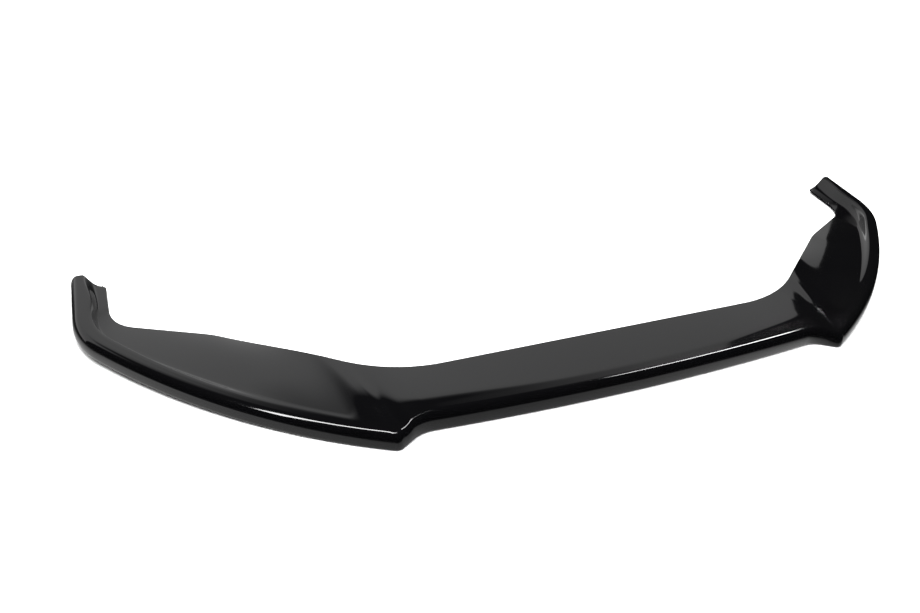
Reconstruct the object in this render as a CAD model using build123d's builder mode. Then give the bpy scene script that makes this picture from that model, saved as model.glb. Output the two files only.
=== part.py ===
from build123d import *
import os
from math import atan, sqrt, tan

# Front splitter lip: one gloss black sheet, vacuum formed and trimmed, open below and behind.
# Millimetres; X to the right, Y to the rear, Z up. Setbacks count to the rear from one line across the front.

# Overall size: the width is where the line of the sides meets the line of the swept wings
side_width = 1708.0
tip_setback = 478.0
wall = 4.0

# Outer face and rounded nose: heights above the bottom edge, which rises towards the tips
nose_height = 32.0
wing_height = 26.0
tip_height = 33.0
tip_lift = 13.5
nose_radius = 11.5
face_lean = 2.0
bottom_chamfer = 2.0

# Front line in plan: bowed middle, notches, swept wings, rounded outer corners, straight sides
middle_setback = 9.0
notch_setback = 23.0
notch_width = 44.0
corner_x = 430.0
corner_lead = 2.1
notch_radius = 60.0
corner_radius = 15.0
side_length = 135.0
sweep_bow = 36.0
outer_radius = 150.0
tip_inset = 3.0

# Rear edge in plan: straight behind the middle, then along the wings to the flange at the tips
rear_setback = 140.0
rear_bend_inset = 33.0
rear_bend_radius = 270.0
kink_inset = 209.0
kink_setback = 315.0
kink_radius = 180.0
root_inset = 57.0
root_radius = 58.0
flange_inset = 57.0
flange_length = 107.0
flange_overhang = 16.0
rear_fan = 6.0

# Heights of the sheet above the ground along the rear edge
rear_rise = 18.0
kink_rise = 8.0
root_rise = 1.5
flange_rise = 1.5

# Flat crest behind the nose, plate slope, and the step down from the bar to the flange at the tips
middle_flat = 10.5
middle_blend = 14.0
wing_flat = 10.0
crest_slope = 0.05
facet_slope = -0.01
wing_slope = 0.035
facet_depth = 125.0
facet_end = 0.12
bar_flat = 12.5
tip_flat = 5.0
step_width = 12.0
groove_height = 12.0
step_start = 0.2
step_end = 0.8

# Derived places
half_width = side_width / 2
flange_setback = tip_setback + flange_overhang
middle_point = (0, middle_setback)
notch_point = (corner_x - notch_width, notch_setback)
corner_point = (corner_x, -corner_lead)
side_point = (half_width, tip_setback - side_length)
tip_point = (half_width - tip_inset, tip_setback)
bend_point = (corner_x - rear_bend_inset, rear_setback)
kink_point = (half_width - kink_inset, kink_setback)
root_point = (half_width - root_inset, flange_setback - flange_length)
flange_point = (half_width - flange_inset, flange_setback)
nose_depth = face_lean + nose_radius
chord_x = side_point[0] - corner_point[0]
chord_y = side_point[1] - corner_point[1]
chord = sqrt(chord_x**2 + chord_y**2)
sweep_x = (corner_point[0] + side_point[0]) / 2 + sweep_bow * chord_y / chord
sweep_y = (corner_point[1] + side_point[1]) / 2 - sweep_bow * chord_x / chord

# Front line of the right half, from the middle to the tip
with BuildLine() as front_line:
    TangentArc(middle_point, notch_point, tangent=(1, 0))
    Line(notch_point, corner_point)
    ThreePointArc(corner_point, (sweep_x, sweep_y), side_point)
    Line(side_point, tip_point)
    fillet(front_line.vertices().sort_by_distance(notch_point)[0], notch_radius)
    fillet(front_line.vertices().sort_by_distance(corner_point)[0], corner_radius)
    fillet(front_line.vertices().sort_by_distance(side_point)[0], outer_radius)

# Rear edge of the right half, from the middle to the tip
with BuildLine() as rear_line:
    Polyline((0, rear_setback), bend_point, kink_point, root_point, flange_point)
    fillet(rear_line.vertices().sort_by_distance(bend_point)[0], rear_bend_radius)
    fillet(rear_line.vertices().sort_by_distance(kink_point)[0], kink_radius)
    fillet(rear_line.vertices().sort_by_distance(root_point)[0], root_radius)

front_wire = front_line.wires()[0]
rear_wire = rear_line.wires()[0]

# The frame's origin lies halfway between the rounded wing corners and the ends of the flanges
centre_y = (front_wire.bounding_box().min.Y + flange_setback) / 2


def along(wire, distance):
    """Point and unit direction at a distance from the middle end of a plan line."""
    share = min(max(distance / wire.length, 0.0), 1.0)
    if (wire @ 0).X > (wire @ 1).X:
        return wire @ (1 - share), (wire % (1 - share)) * -1
    return wire @ share, wire % share


def ease(value):
    """Smooth rise from 0 to 1."""
    value = min(max(value, 0.0), 1.0)
    return value * value * (3 - 2 * value)


def mix(first, second, share):
    return first + (second - first) * share


def lengths(wire):
    """Distances from the middle end to the end of each edge of a plan line."""
    edges = sorted(wire.edges(), key=lambda edge: (edge @ 0.5).X + (edge @ 0.5).Y)
    total = 0
    marks = []
    for edge in edges:
        total += edge.length
        marks.append(total)
    return marks


# Marks along both lines
notch_in, notch_out, corner_in, corner_out, sweep_end, side_in, tip_end = lengths(front_wire)
bend_in, bend_out, kink_in, kink_out, root_in, root_out, rear_end = lengths(rear_wire)
rear_notch = mix(bend_in, bend_out, 0.55)
junction = mix(bend_in, bend_out, 0.85)

# Stations: distance along the front, distance along the rear, wing share, facet share
middle_run = []
for share in (-1.0, -0.67, -0.33, 0.0, 0.33, 0.67, 1.0):
    middle_run.append((share * notch_in, share * rear_notch, 0.0, 0.0))
notch_run = []
for share in (0.0, 0.5, 1.0):
    front_mark = mix(notch_in, notch_out, share)
    notch_run.append((front_mark, rear_notch + share * rear_fan, 0.0, 0.0))
step_run = [
    (notch_out, rear_notch + rear_fan, 0.0, 0.0),
    (corner_in, junction - rear_fan, 0.0, 1.0),
]
corner_run = []
for share in (0.0, 0.5, 1.0):
    front_mark = mix(corner_in, corner_out, share)
    corner_run.append((front_mark, junction + (share - 1) * rear_fan, 0.0, 1.0))
wing_run = []
for share in (0.0, 0.12, 0.25, 0.38, 0.50, 0.62, 0.72, 0.80, 0.87, 0.94, 1.0):
    front_mark = mix(corner_out, tip_end, share)
    wing_run.append((front_mark, mix(junction, rear_end, share), share, 1 - ease(share / facet_end)))

kink_share = (kink_in + kink_out - 2 * junction) / (2 * (rear_end - junction))
root_share = (root_in + root_out - 2 * junction) / (2 * (rear_end - junction))

with BuildPart() as splitter_lip:
    for run in (notch_run, step_run, corner_run, wing_run, middle_run):
        sections = []
        for front_mark, rear_mark, wing_share, facet_share in run:
            # Vertical section plane from the front line to the rear edge
            side = -1 if front_mark < 0 else 1
            front, heading = along(front_wire, abs(front_mark))
            rear, _ = along(rear_wire, abs(rear_mark))
            reach = (rear - front).length
            inward = (rear - front) / reach
            stretch = 1 / (inward.Y * heading.X - inward.X * heading.Y)
            x_dir = Vector(side * inward.X, inward.Y, 0)
            origin = (side * front.X, front.Y - centre_y, 0)
            section_plane = Plane(origin, x_dir, x_dir.cross(Vector(0, 0, 1)))

            # Heights and widths here
            step = ease((wing_share - step_start) / (step_end - step_start))
            on_wing = facet_share if wing_share == 0 else 1.0
            base = tip_lift * max(front.Y, 0.0) / tip_setback
            height = mix(nose_height, wing_height, ease(on_wing))
            height = mix(height, tip_height, ease((wing_share - 0.55) / 0.45))
            top = base + height
            flat_width = mix(mix(middle_flat, wing_flat, on_wing), bar_flat, step)
            plate_start = mix((nose_depth + flat_width + middle_blend) * stretch, facet_depth, facet_share)
            flat_width = mix(flat_width, tip_flat, ease((wing_share - 0.88) / 0.12))
            crest = (nose_depth + flat_width) * stretch
            foot = mix(plate_start, (nose_depth + bar_flat + step_width) * stretch, step)
            if wing_share < kink_share:
                edge_rise = mix(rear_rise, kink_rise, ease(wing_share / kink_share))
            elif wing_share < root_share:
                edge_share = (wing_share - kink_share) / (root_share - kink_share)
                edge_rise = mix(kink_rise, root_rise, edge_share)
            else:
                edge_share = (wing_share - root_share) / (1 - root_share)
                edge_rise = mix(root_rise, flange_rise, edge_share)
            edge_height = edge_rise + wall
            slope = mix(crest_slope, facet_slope, facet_share)
            foot_height = mix(top - slope * (foot - crest), groove_height, step)
            span = reach - foot
            mean_slope = (foot_height - edge_height) / span
            foot_slope = mix(mean_slope, wing_slope, ease(wing_share / 0.2) * (1 - step))
            bend_height = foot_height - foot_slope * 0.72 * span
            edge_slope = (bend_height - edge_height) / (0.28 * span)

            # Offsets of the underside
            steep = atan(1.8 * (top - foot_height) / (foot - crest))
            step_shift = wall * tan(steep / 2)
            foot_len = sqrt(1 + foot_slope**2)
            edge_len = sqrt(1 + edge_slope**2)
            thick = wall * stretch
            lean = face_lean * stretch
            radius = nose_radius * stretch
            face_top = top - nose_radius
            inner_flat = 0.4142 * (nose_radius - wall)
            flat_back = (lean + radius - inner_flat * stretch, top - wall)
            flat_front = (lean + thick, face_top + inner_flat)
            pull = 0.5523
            hand = 0.5 * (foot - crest)
            foot_in = (foot - wall * foot_slope / foot_len, foot_height - wall / foot_len)
            edge_in = (reach - wall * edge_slope / edge_len, edge_height - wall / edge_len)
            span_in = edge_in[0] - foot_in[0]
            step_low = (foot - 0.35 * hand - step_shift, foot_in[1] + foot_slope * 0.35 * hand)
            step_high = (crest + 0.35 * hand - step_shift, top - wall)

            with BuildSketch(section_plane, mode=Mode.PRIVATE) as section:
                with BuildLine():
                    # Outer side: bottom edge, face, nose, crest, step, plate
                    Line((bottom_chamfer * stretch, base), (0, base + bottom_chamfer))
                    Line((0, base + bottom_chamfer), (lean, face_top))
                    Bezier(
                        (lean, face_top),
                        (lean + 0.1 * lean, face_top + pull * nose_radius),
                        (lean + (1 - pull) * radius, top),
                        (lean + radius, top),
                    )
                    Line((lean + radius, top), (crest, top))
                    Bezier(
                        (crest, top),
                        (crest + hand, top),
                        (foot - hand, foot_height + foot_slope * hand),
                        (foot, foot_height),
                    )
                    Bezier(
                        (foot, foot_height),
                        (foot + 0.45 * span, foot_height - foot_slope * 0.45 * span),
                        (foot + 0.72 * span, bend_height),
                        (reach, edge_height),
                    )
                    # Trimmed edge, then the underside back to the front
                    Line((reach, edge_height), edge_in)
                    Bezier(
                        edge_in,
                        (edge_in[0] - 0.28 * span_in, edge_in[1] + edge_slope * 0.28 * span_in),
                        (foot_in[0] + 0.45 * span_in, foot_in[1] - foot_slope * 0.45 * span_in),
                        foot_in,
                    )
                    Line(foot_in, step_low)
                    Line(step_low, step_high)
                    Line(step_high, flat_back)
                    Line(flat_back, flat_front)
                    Line(flat_front, (thick, base))
                    Line((thick, base), (bottom_chamfer * stretch, base))
                make_face()
            sections.append(section.sketch.faces()[0])
        loft(sections)
        if run is wing_run:
            mirror(about=Plane.YZ)

splitter_lip.part.label = "splitter_lip"
os.makedirs("parts", exist_ok=True)
export_step(splitter_lip.part, "parts/splitter_lip.step")
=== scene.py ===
from bisect import bisect_right
from cmath import phase
from math import atan, cos, radians, sin, tan

import bmesh
import bpy
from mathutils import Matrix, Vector


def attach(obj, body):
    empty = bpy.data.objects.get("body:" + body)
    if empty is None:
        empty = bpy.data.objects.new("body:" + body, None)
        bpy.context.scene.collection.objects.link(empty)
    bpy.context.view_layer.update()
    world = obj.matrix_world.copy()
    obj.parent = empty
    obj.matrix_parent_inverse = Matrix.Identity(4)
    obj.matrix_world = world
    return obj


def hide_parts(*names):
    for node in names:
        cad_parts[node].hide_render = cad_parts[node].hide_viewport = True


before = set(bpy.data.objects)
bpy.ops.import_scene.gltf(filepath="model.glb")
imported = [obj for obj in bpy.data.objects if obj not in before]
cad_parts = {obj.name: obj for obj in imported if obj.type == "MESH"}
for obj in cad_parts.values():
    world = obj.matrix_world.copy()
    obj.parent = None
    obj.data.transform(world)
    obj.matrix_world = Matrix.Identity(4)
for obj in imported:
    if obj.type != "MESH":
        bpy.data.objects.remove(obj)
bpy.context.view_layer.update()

# Splitter lip: one gloss black sheet, vacuum formed over a mould and trimmed along its edges.
# The outer face, the rounded nose, the sloping plate and the bars at the tips are all one wall,
# open below and behind. Lengths are in millimetres until the sheet is laid out.
MM = 0.001
HALF_WIDTH = 854.0
WALL = 4.0


def mix(first, second, share):
    return first + (second - first) * share


def ease(value):
    """Smooth rise from 0 to 1."""
    value = min(max(value, 0.0), 1.0)
    return value * value * (3 - 2 * value)


def bezier(first, second, third, fourth, share):
    rest = 1 - share
    return rest**3 * first + 3 * rest**2 * share * second + 3 * rest * share**2 * third + share**3 * fourth


def bowed(start, end, bow, count=160):
    """Points of an arc that stands out from its chord by bow."""
    half = 2 * atan(2 * bow / abs(end - start))
    points = []
    for step in range(count + 1):
        turn = half * (2 * step / count - 1)
        along = 0.5 + 0.5 * sin(turn) / sin(half)
        out = (cos(turn) - cos(half)) / (2 * sin(half))
        points.append(start + (end - start) * complex(along, -out))
    return points


class Guide:
    """A line of the lip in plan, read by its length: x to the right, setback as the imaginary part."""

    def __init__(self, points):
        self.points = points
        self.lengths = [0.0]
        for first, second in zip(points, points[1:]):
            self.lengths.append(self.lengths[-1] + abs(second - first))
        self.headings = []
        for place in range(len(points)):
            ahead = points[min(place + 1, len(points) - 1)] - points[max(place - 1, 0)]
            self.headings.append(ahead / abs(ahead))

    def at(self, length):
        length = min(max(length, 0.0), self.lengths[-1])
        place = min(max(bisect_right(self.lengths, length) - 1, 0), len(self.points) - 2)
        share = (length - self.lengths[place]) / (self.lengths[place + 1] - self.lengths[place])
        heading = mix(self.headings[place], self.headings[place + 1], share)
        return mix(self.points[place], self.points[place + 1], share), heading / abs(heading)

    def cut(self, start, end, hair=1e-6):
        inner = [p for p, length in zip(self.points, self.lengths) if start + hair < length < end - hair]
        return [self.at(start)[0]] + inner + [self.at(end)[0]]


def rounded(legs, radii, count=24):
    """One guide from legs joined by rounded corners, and its length at the end of each leg and corner."""
    guides = [Guide(leg) for leg in legs]
    trims = []
    for before, after, radius in zip(guides, guides[1:], radii):
        trims.append(radius * tan(abs(phase(after.headings[0] / before.headings[-1])) / 2))
    points = []
    ends = []
    for place, guide in enumerate(guides):
        start = trims[place - 1] if place else 0.0
        last = place == len(trims)
        end = guide.lengths[-1] - (0.0 if last else trims[place])
        points += guide.cut(start, end)
        ends.append(len(points) - 1)
        if not last:
            first, first_heading = guide.at(end)
            fourth, fourth_heading = guides[place + 1].at(trims[place])
            turn = abs(phase(fourth_heading / first_heading))
            hand = abs(fourth - first) / 3 / cos(turn / 4) ** 2
            second = first + hand * first_heading
            third = fourth - hand * fourth_heading
            for step in range(1, count):
                points.append(bezier(first, second, third, fourth, step / count))
            ends.append(len(points))
    whole = Guide(points)
    return whole, [whole.lengths[end] for end in ends]


# Front line of the right half: bowed middle, step of the notch, swept wing, side.
# A straight leg is an arc with hardly any bow.
STRAIGHT = 0.001
MIDDLE = complex(0, 9)
NOTCH = complex(386, 23)
CORNER = complex(430, -2.05)
SIDE = complex(HALF_WIDTH, 343)
TIP_TUCK = 3.1
TIP_SETBACK = 492.0
TIP = complex(HALF_WIDTH - TIP_TUCK, TIP_SETBACK)
MIDDLE_BOW = 3.4
SWEEP_BOW = 36.0
NOTCH_RADIUS = 60
CORNER_RADIUS = 15
SIDE_RADIUS = 150
front, front_marks = rounded(
    [
        bowed(MIDDLE, NOTCH, MIDDLE_BOW),
        bowed(NOTCH, CORNER, STRAIGHT),
        bowed(CORNER, SIDE, SWEEP_BOW),
        bowed(SIDE, TIP, STRAIGHT),
    ],
    [NOTCH_RADIUS, CORNER_RADIUS, SIDE_RADIUS],
)
notch_in, notch_out, corner_in, corner_out = front_marks[:4]
tip_end = front_marks[-1]

# Rear edge: straight behind the middle, then along the wing to its root and back along the flange
REAR_SETBACK = 140
FLANGE_SETBACK = 494.0
FLANGE_INSET = 57
FLANGE_LENGTH = 107
KINK_INSET = 209
BEND = complex(397, REAR_SETBACK)
KINK = complex(HALF_WIDTH - KINK_INSET, 315)
ROOT = complex(HALF_WIDTH - FLANGE_INSET, FLANGE_SETBACK - FLANGE_LENGTH)
FLANGE = complex(HALF_WIDTH - FLANGE_INSET, FLANGE_SETBACK)
BEND_RADIUS = 270
KINK_RADIUS = 180
ROOT_RADIUS = 58
rear, rear_marks = rounded(
    [
        bowed(complex(0, REAR_SETBACK), BEND, STRAIGHT),
        bowed(BEND, KINK, STRAIGHT),
        bowed(KINK, ROOT, STRAIGHT),
        bowed(ROOT, FLANGE, STRAIGHT),
    ],
    [BEND_RADIUS, KINK_RADIUS, ROOT_RADIUS],
)
bend_in, bend_out, kink_in, kink_out, root_in, root_out, rear_end = rear_marks

# On the rear edge, the middle ends within the bend and the wing begins past it, at the junction
NOTCH_ON_BEND = 0.55
JUNCTION_ON_BEND = 0.85
JUNCTION_SHIFT = 45
rear_notch = mix(bend_in, bend_out, NOTCH_ON_BEND)
junction = mix(bend_in, bend_out, JUNCTION_ON_BEND) + JUNCTION_SHIFT
wing_rear = rear_end - junction
kink_share = ((kink_in + kink_out) / 2 - junction) / wing_rear
root_share = ((root_in + root_out) / 2 - junction) / wing_rear

# Stations along the sheet: length along the front, length along the rear, share of the wing from the
# corner to the tip, and share of the facet that fills the plate behind the notch
MIDDLE_ROWS = 20
NOTCH_ROWS = 12
STEP_ROWS = 10
CORNER_ROWS = 12
WING_ROWS = 88
REAR_FAN = 14.0
FACET_FROM = 0.3
FACET_START = 0.16
FACET_STEP = 0.3
FACET_END = 0.08
FLANGE_CORNER = 6.0
CORNER_TURNS = (30, 60, 90)
stations = []
for step in range(MIDDLE_ROWS):
    share = step / MIDDLE_ROWS
    facet = FACET_START * ease((share - FACET_FROM) / (1 - FACET_FROM))
    stations.append((notch_in * share, rear_notch * share, 0.0, facet))
for step in range(NOTCH_ROWS):
    share = step / NOTCH_ROWS
    facet = mix(FACET_START, FACET_STEP, share)
    stations.append((mix(notch_in, notch_out, share), rear_notch + share * REAR_FAN, 0.0, facet))
for step in range(STEP_ROWS):
    share = step / STEP_ROWS
    rear_length = mix(rear_notch + REAR_FAN, junction - REAR_FAN, share)
    facet = mix(FACET_STEP, 1.0, ease(share))
    stations.append((mix(notch_out, corner_in, share), rear_length, 0.0, facet))
for step in range(CORNER_ROWS):
    share = step / CORNER_ROWS
    stations.append((mix(corner_in, corner_out, share), junction + (share - 1) * REAR_FAN, 0.0, 1.0))
rounding_share = 1 - FLANGE_CORNER / wing_rear
wing_shares = [rounding_share * step / WING_ROWS for step in range(WING_ROWS + 1)]
wing_shares += [mix(rounding_share, 1, sin(radians(turn))) for turn in CORNER_TURNS]
for share in wing_shares:
    facet = 1 - ease(share / FACET_END)
    stations.append((mix(corner_out, tip_end, share), mix(junction, rear_end, share), share, facet))

# Section at one station. Its outer line goes up the face from the bottom edge, over the nose and its flat,
# down the fall to a foot and along the plate to the rear edge, as points (inward, up). The middle of a
# quarter round lies QUARTER_ROUND of its radius in from both sides of its corner.
NOSE_HEIGHT = 32.0
WING_HEIGHT = 26.0
TIP_HEIGHT = 25.0
RISE_START = 0.55
BOTTOM_ROUND = 1.2
QUARTER_ROUND = 0.29
FACE_LEAN = 2.0
NOSE_RADIUS = 11.5
NOSE_TILT = 0.32
NOSE_HANDS = (5, 6)
MIDDLE_FLAT = 10.5
MIDDLE_BLEND = 14.0
WING_FLAT = 10.0
BAR_FLAT = 17.0
TIP_FLAT = 7.0
TIP_FLAT_START = 0.88
CREST_SLOPE = 0.05
FACET_SLOPE = -0.01
FACET_DEPTH = 125.0
STEP_WIDTH = 11.0
STEP_START = 0.2
STEP_END = 0.8
STEP_CREST_HAND = 0.5
GROOVE_HEIGHT = 12.0
WING_SLOPE = 0.035
WING_SLOPE_FULL = 0.2
PLATE_HANDS = (0.45, 0.72)
REAR_RISE = 18.0
KINK_RISE = 8.0
ROOT_RISE = 3.0
FLANGE_RISE = 4.0
RIM = 1.2
FACE_POINTS = 5
NOSE_POINTS = 10
FLAT_POINTS = 3
FALL_POINTS = 14
PLATE_POINTS = 14


def rear_height(wing_share):
    """Height of the rear edge's upper side along the wing."""
    if wing_share < kink_share:
        return WALL + mix(REAR_RISE, KINK_RISE, ease(wing_share / kink_share))
    if wing_share < root_share:
        return WALL + mix(KINK_RISE, ROOT_RISE, (wing_share - kink_share) / (root_share - kink_share))
    return WALL + mix(ROOT_RISE, FLANGE_RISE, (wing_share - root_share) / (1 - root_share))


def sampled(control, count):
    """Points along a curve, after its first one."""
    return [bezier(*control, step / count) for step in range(1, count + 1)]


def outer_line(reach, base, facet_depth, wing_share, facet_share):
    """Points of the outer line; reach and facet depth are taken square to the front line."""
    on_wing = 1.0 if wing_share > 0 else facet_share
    step = ease((wing_share - STEP_START) / (STEP_END - STEP_START))
    rise = ease((wing_share - RISE_START) / (1 - RISE_START))
    top = base + mix(mix(NOSE_HEIGHT, WING_HEIGHT, ease(on_wing)), TIP_HEIGHT, rise)
    nose_depth = FACE_LEAN + NOSE_RADIUS
    flat = mix(mix(MIDDLE_FLAT, WING_FLAT, on_wing), BAR_FLAT, step)
    crest = nose_depth + mix(flat, TIP_FLAT, ease((wing_share - TIP_FLAT_START) / (1 - TIP_FLAT_START)))
    plate_start = mix(nose_depth + flat + MIDDLE_BLEND, facet_depth, facet_share)
    foot = mix(plate_start, nose_depth + BAR_FLAT + STEP_WIDTH, step)
    slope = mix(CREST_SLOPE, FACET_SLOPE, facet_share)
    foot_height = mix(top - slope * (foot - crest), GROOVE_HEIGHT, step)
    span = reach - foot
    edge = rear_height(wing_share)
    foot_slope = mix((foot_height - edge) / span, WING_SLOPE, ease(wing_share / WING_SLOPE_FULL) * (1 - step))

    corner = QUARTER_ROUND * BOTTOM_ROUND
    face_bottom = base + BOTTOM_ROUND
    face_top = top - NOSE_RADIUS
    third = (face_top - face_bottom) / 3
    face = (
        complex(0, face_bottom),
        complex(0, face_bottom + third),
        complex(max(FACE_LEAN - NOSE_TILT * third, 0), face_top - third),
        complex(FACE_LEAN, face_top),
    )
    low_hand, top_hand = NOSE_HANDS
    nose = (
        complex(FACE_LEAN, face_top),
        complex(FACE_LEAN + low_hand * NOSE_TILT, face_top + low_hand),
        complex(nose_depth - top_hand, top),
        complex(nose_depth, top),
    )
    hand = (foot - crest) / 2
    fall = (
        complex(crest, top),
        complex(crest + mix(1, STEP_CREST_HAND, step) * hand, top),
        complex(foot - hand, foot_height + foot_slope * hand),
        complex(foot, foot_height),
    )
    near, far = PLATE_HANDS
    plate = (
        complex(foot, foot_height),
        complex(foot + near * span, foot_height - foot_slope * near * span),
        complex(foot + far * span, foot_height - foot_slope * far * span),
        complex(reach, edge),
    )
    points = [complex(BOTTOM_ROUND, base), complex(corner, base + corner), complex(0, face_bottom)]
    points += sampled(face, FACE_POINTS) + sampled(nose, NOSE_POINTS)
    for count in range(1, FLAT_POINTS + 1):
        points.append(complex(mix(nose_depth, crest, count / FLAT_POINTS), top))
    points += sampled(fall, FALL_POINTS) + sampled(plate, PLATE_POINTS)[:-1]
    return points + [bezier(*plate, 1 - RIM / span), plate[3]]


# The wall below the outer line, with its trimmed edges rubbed down
EDGE_ROUND = 0.5


def eased(before, corner, after):
    """Three points in place of a trimmed corner."""
    back = EDGE_ROUND * (before - corner) / abs(before - corner)
    ahead = EDGE_ROUND * (after - corner) / abs(after - corner)
    return [corner + back, corner + QUARTER_ROUND * (back + ahead), corner + ahead]


def closed_section(outer):
    """The outer line, then the underside one wall below it, back to the bottom edge."""
    under = []
    for place in range(2, len(outer)):
        ahead = outer[min(place + 1, len(outer) - 1)] - outer[max(place - 1, 2)]
        under.append(outer[place] + WALL * ahead / abs(ahead) * -1j)
    under[0] = complex(WALL, outer[0].imag)
    under.reverse()
    rear_cut = eased(outer[-2], outer[-1], under[0]) + eased(outer[-1], under[0], under[1])
    return outer[:-1] + rear_cut + under[1:-1] + eased(under[-2], under[-1], outer[0])


# The sections stand on the front line, which rises towards the tips, and reach to the rear edge
TIP_LIFT = 13.5
LIFT_SETBACK = 478.0
centre_setback = (min(point.imag for point in front.points) + FLANGE_SETBACK) / 2
formed = []
for front_length, rear_length, wing_share, facet_share in stations:
    front_point, heading = front.at(front_length)
    rear_point, _ = rear.at(rear_length)
    reach = abs(rear_point - front_point)
    inward = (rear_point - front_point) / reach
    past_corner = max(FLANGE_CORNER - (rear_end - rear_length), 0.0)
    reach -= FLANGE_CORNER - (FLANGE_CORNER**2 - past_corner**2) ** 0.5
    stretch = 1 / (inward.imag * heading.real - inward.real * heading.imag)
    base = TIP_LIFT * max(front_point.imag, 0.0) / LIFT_SETBACK
    outer = outer_line(reach / stretch, base, FACET_DEPTH / stretch, wing_share, facet_share)
    row = []
    for point in closed_section(outer):
        place = front_point + inward * point.real * stretch
        row.append(Vector((place.real, place.imag - centre_setback, point.imag)) * MM)
    formed.append(row)

# A flat grid is laid out, formed over these rows, closed along its seam and at the tip, and mirrored.
# The cut at each tip is one flat face; the faces of the grid, four-sided at most, are smooth.
QUAD = 4
rows = len(formed) - 1
columns = len(formed[0])
sheet = bmesh.new()
bmesh.ops.create_grid(sheet, x_segments=columns, y_segments=rows, size=1.0)
for vert in sheet.verts:
    row = round((vert.co.y + 1) / 2 * rows)
    column = round((vert.co.x + 1) / 2 * columns)
    vert.co = formed[row][column % columns]
bmesh.ops.remove_doubles(sheet, verts=sheet.verts, dist=1e-7)
tip_edges = [edge for edge in sheet.edges if edge.is_boundary and edge.verts[0].co.x > HALF_WIDTH / 2 * MM]
bmesh.ops.edgeloop_fill(sheet, edges=tip_edges)
bmesh.ops.mirror(sheet, geom=sheet.verts[:] + sheet.edges[:] + sheet.faces[:], axis="X", merge_dist=1e-6)
bmesh.ops.recalc_face_normals(sheet, faces=sheet.faces)
for face in sheet.faces:
    face.smooth = len(face.verts) <= QUAD
lip_mesh = bpy.data.meshes.new("splitter_lip_sheet")
sheet.to_mesh(lip_mesh)
sheet.free()
lip = bpy.data.objects.new("splitter_lip_sheet", lip_mesh)
bpy.context.scene.collection.objects.link(lip)


class Shade:
    """One socket of a material's nodes; sums on it add Math nodes."""

    def __init__(self, tree, socket=None):
        self.tree = tree
        self.socket = socket

    def node(self, kind, settings, sockets, output=0):
        made = self.tree.nodes.new(kind)
        for name, value in settings.items():
            setattr(made, name, value)
        for name, value in sockets.items():
            if isinstance(value, Shade):
                self.tree.links.new(value.socket, made.inputs[name])
            else:
                made.inputs[name].default_value = value
        return Shade(self.tree, made.outputs[output] if made.outputs else None)

    def math(self, operation, first, second):
        return self.node("ShaderNodeMath", {"operation": operation}, {0: first, 1: second})

    def __add__(self, other):
        return self.math("ADD", self, other)

    def __radd__(self, other):
        return self.math("ADD", other, self)

    def __mul__(self, other):
        return self.math("MULTIPLY", self, other)

    def __rmul__(self, other):
        return self.math("MULTIPLY", other, self)


def new_material(name):
    material = bpy.data.materials.new(name)
    material.use_nodes = True
    material.node_tree.nodes.clear()
    return material, Shade(material.node_tree)


# Gloss black, a little cloudy in gloss, with the slight waves and peel of a formed sheet
DEEP_BLACK = (0.0012, 0.0012, 0.0014, 1)
PALE_BLACK = (0.0018, 0.0018, 0.0021, 1)
GLOSS_ROUGHNESS = 0.045
CLOUD_ROUGHNESS = 0.05
BUMP_HEIGHT = 1.0 * MM
WAVE_SHARE = 0.03
PEEL_SHARE = 0.002
lip_plastic, shade = new_material("gloss_black_plastic")
coords = shade.node("ShaderNodeTexCoord", {}, {}, "Object")
cloud = shade.node("ShaderNodeTexNoise", {}, {"Vector": coords, "Scale": 9.0, "Detail": 3.0}, "Fac")
peel = shade.node("ShaderNodeTexNoise", {}, {"Vector": coords, "Scale": 140.0, "Detail": 1.0}, "Fac")
wave = shade.node("ShaderNodeTexNoise", {}, {"Vector": coords, "Scale": 14.0, "Detail": 0.0}, "Fac")
black = shade.node("ShaderNodeMix", {"data_type": "RGBA"}, {0: cloud, 6: DEEP_BLACK, 7: PALE_BLACK}, 2)
relief = wave * WAVE_SHARE + peel * PEEL_SHARE
formed_bump = shade.node(
    "ShaderNodeBump", {}, {"Strength": 1.0, "Distance": BUMP_HEIGHT, "Height": relief}, "Normal"
)
roughness = cloud * CLOUD_ROUGHNESS + GLOSS_ROUGHNESS
surface = shade.node(
    "ShaderNodeBsdfPrincipled",
    {},
    {"Base Color": black, "Roughness": roughness, "IOR": 1.5, "Normal": formed_bump},
)
shade.node("ShaderNodeOutputMaterial", {}, {"Surface": surface})
lip_mesh.materials.append(lip_plastic)
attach(lip, "root")
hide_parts("splitter_lip")

# Studio floor: matt white paper that reflections pass through, over a lit table that only reflections see.
# The table glows in an oval under the lip and behind it, and gives the gloss faces their grey.
FLOOR_HALF = 6.0
FLOOR_DROP = 0.5 * MM
PAPER_WHITE = (0.86, 0.86, 0.86, 1)


def stage_card(name, corners, material):
    card = bmesh.new()
    card.faces.new([card.verts.new(corner) for corner in corners])
    mesh = bpy.data.meshes.new(name)
    card.to_mesh(mesh)
    card.free()
    mesh.materials.append(material)
    made = bpy.data.objects.new(name, mesh)
    bpy.context.scene.collection.objects.link(made)
    return made


def level_card(name, height, material):
    signs = ((-1, -1), (1, -1), (1, 1), (-1, 1))
    return stage_card(name, [(FLOOR_HALF * x, FLOOR_HALF * y, height) for x, y in signs], material)


paper, shade = new_material("white_paper")
paper_surface = shade.node("ShaderNodeBsdfDiffuse", {}, {"Color": PAPER_WHITE})
shade.node("ShaderNodeOutputMaterial", {}, {"Surface": paper_surface})
level_card("floor", -FLOOR_DROP, paper).visible_glossy = False

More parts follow.
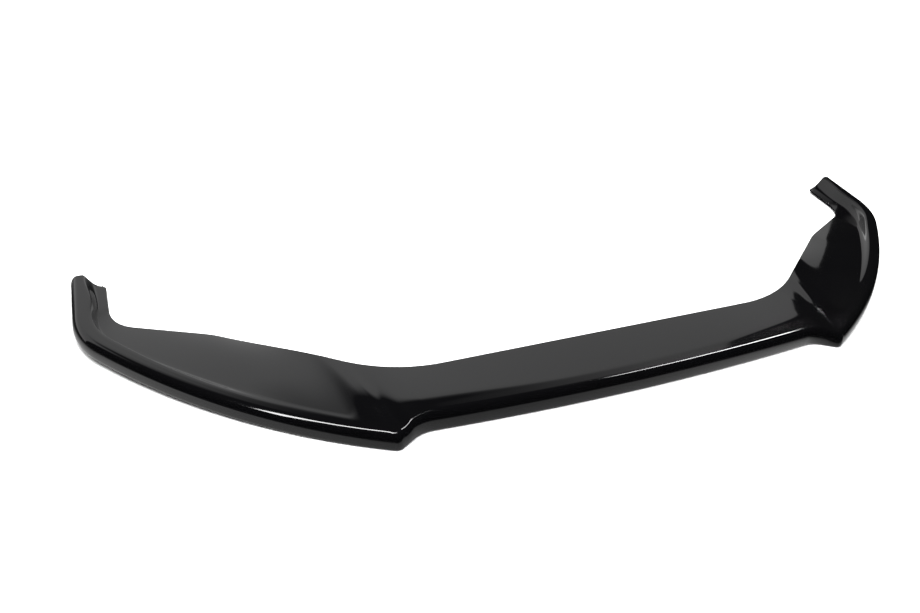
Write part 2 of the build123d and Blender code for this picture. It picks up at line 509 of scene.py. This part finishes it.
# Each edge of the table's light runs from a start to an end, in shares of the oval's half sizes.
# The oval's own edge is in squares of such shares.
TABLE_DROP = 1.0 * MM
OVAL_SHIFT = 0.12
OVAL_HALF_WIDTH = 0.8
OVAL_HALF_DEPTH = 0.33
OVAL_EDGE = (0.81, 1.32)
RIGHT_EDGE = (0.74, 1.0)
REAR_EDGE = (0.8, 1.6)
LEFT_EDGE = (-1.2, -0.95)
FAR_EDGE = (1.6, 2.2)
OVAL_DARK = 0.03
END_DARK = 0.05
LEVEL_SHIFT = 0.12
LEVEL_RISE = 1.2
LEVEL_LOW = 0.55
LEVEL_HIGH = 1.9


def fade(value, edge, first, last):
    """Goes smoothly from the first level to the last between an edge's start and end."""
    start, end = edge
    sockets = {"Value": value, "From Min": start, "From Max": end, "To Min": first, "To Max": last}
    return value.node("ShaderNodeMapRange", {"interpolation_type": "SMOOTHSTEP"}, sockets)


table_light, shade = new_material("lit_table")
coords = shade.node("ShaderNodeTexCoord", {}, {}, "Object")
across = shade.node("ShaderNodeSeparateXYZ", {}, {"Vector": coords}, "X")
along = shade.node("ShaderNodeSeparateXYZ", {}, {"Vector": coords}, "Y")
across = (across + OVAL_SHIFT) * (1 / OVAL_HALF_WIDTH)
along = along * (1 / OVAL_HALF_DEPTH)
oval = fade(across * across + along * along, OVAL_EDGE, 1.0, OVAL_DARK)
oval = oval * fade(across, RIGHT_EDGE, 1.0, END_DARK)
behind = fade(along, REAR_EDGE, 0.0, 1.0) * fade(across, LEFT_EDGE, 0.0, 1.0)
behind = behind * fade(across, FAR_EDGE, 1.0, END_DARK)
offset = across + LEVEL_SHIFT
level = shade.math("MINIMUM", offset * offset * LEVEL_RISE + LEVEL_LOW, LEVEL_HIGH)
lit = shade.math("MAXIMUM", oval, behind) * level
glow = shade.node("ShaderNodeEmission", {}, {"Color": lit, "Strength": 1.0})
shade.node("ShaderNodeOutputMaterial", {}, {"Surface": glow})
table = level_card("table", -TABLE_DROP, table_light)
table.visible_camera = False
table.visible_diffuse = False

# Studio backdrop: three lit cards on a bent line behind the lip, which the plates of the lip reflect.
# Their light fades towards the top and to the right.
BACKDROP_HEIGHT = 3.32
TOP_EDGE = (2.42, BACKDROP_HEIGHT)
TOP_DARK = 0.12
backdrop_light, shade = new_material("lit_backdrop")
coords = shade.node("ShaderNodeTexCoord", {}, {}, "Object")
height = shade.node("ShaderNodeSeparateXYZ", {}, {"Vector": coords}, "Z")
across = shade.node("ShaderNodeSeparateXYZ", {}, {"Vector": coords}, "X")
upward = fade(height, TOP_EDGE, 1.0, TOP_DARK)
level = shade.node(
    "ShaderNodeMapRange",
    {},
    {"Value": across, "From Min": 0.0, "From Max": 2.7, "To Min": 1.08, "To Max": 0.62},
)
glow = shade.node("ShaderNodeEmission", {}, {"Color": upward * level, "Strength": 1.0})
shade.node("ShaderNodeOutputMaterial", {}, {"Surface": glow})
backdrop_feet = [(-3.0, 0.8), (-1.64, 2.62), (0.54, 3.05), (2.72, 1.87)]
for count, (left, right) in enumerate(zip(backdrop_feet, backdrop_feet[1:])):
    stage_card(
        "backdrop_%d" % (count + 1),
        [(*left, 0), (*right, 0), (*right, BACKDROP_HEIGHT), (*left, BACKDROP_HEIGHT)],
        backdrop_light,
    )


# Studio lamps: one soft lamp for the paper, which the gloss doesn't mirror, and two strips that draw the
# thin highlights along the nose. The room around is dark.
def lamp(name, place, heading, size, power, mirrored):
    """A lamp that shines straight down, its length turned to the heading in degrees from +X."""
    light = bpy.data.lights.new(name, "AREA")
    light.shape = "RECTANGLE"
    light.size, light.size_y = size
    light.energy = power
    made = bpy.data.objects.new(name, light)
    made.location = place
    made.rotation_euler = (0, 0, radians(heading))
    made.visible_glossy = mirrored
    bpy.context.scene.collection.objects.link(made)


lamp("fill_lamp", place=(0, 0, 4.5), heading=0, size=(4, 4), power=420, mirrored=False)
lamp("left_strip", place=(-0.9, 0.14, 2.5), heading=40, size=(3.2, 0.3), power=75, mirrored=True)
lamp("right_strip", place=(2.16, 1.27, 2.2), heading=8, size=(1.42, 0.18), power=25, mirrored=True)

DARK_ROOM = (0.012, 0.012, 0.012, 1)
world = bpy.data.worlds.new("studio")
bpy.context.scene.world = world
world.use_nodes = True
world.node_tree.nodes["Background"].inputs["Color"].default_value = DARK_ROOM

# Camera at the photograph's place, in front of the left wing and above it.
# Its place, turn and lens come from a fit to mirrored pairs of points on the lip.
camera_data = bpy.data.cameras.new("camera")
camera_data.lens = 31.343
camera_data.sensor_width = 36.0
camera_data.sensor_fit = "HORIZONTAL"
camera = bpy.data.objects.new("camera", camera_data)
camera.location = (-0.74, -0.97625, 0.89878)
camera.rotation_euler = (radians(51.739), radians(-6.168), radians(-22.414))
bpy.context.scene.collection.objects.link(camera)
bpy.context.scene.camera = camera
bpy.context.scene.view_settings.view_transform = "Standard"

bpy.context.view_layer.update()
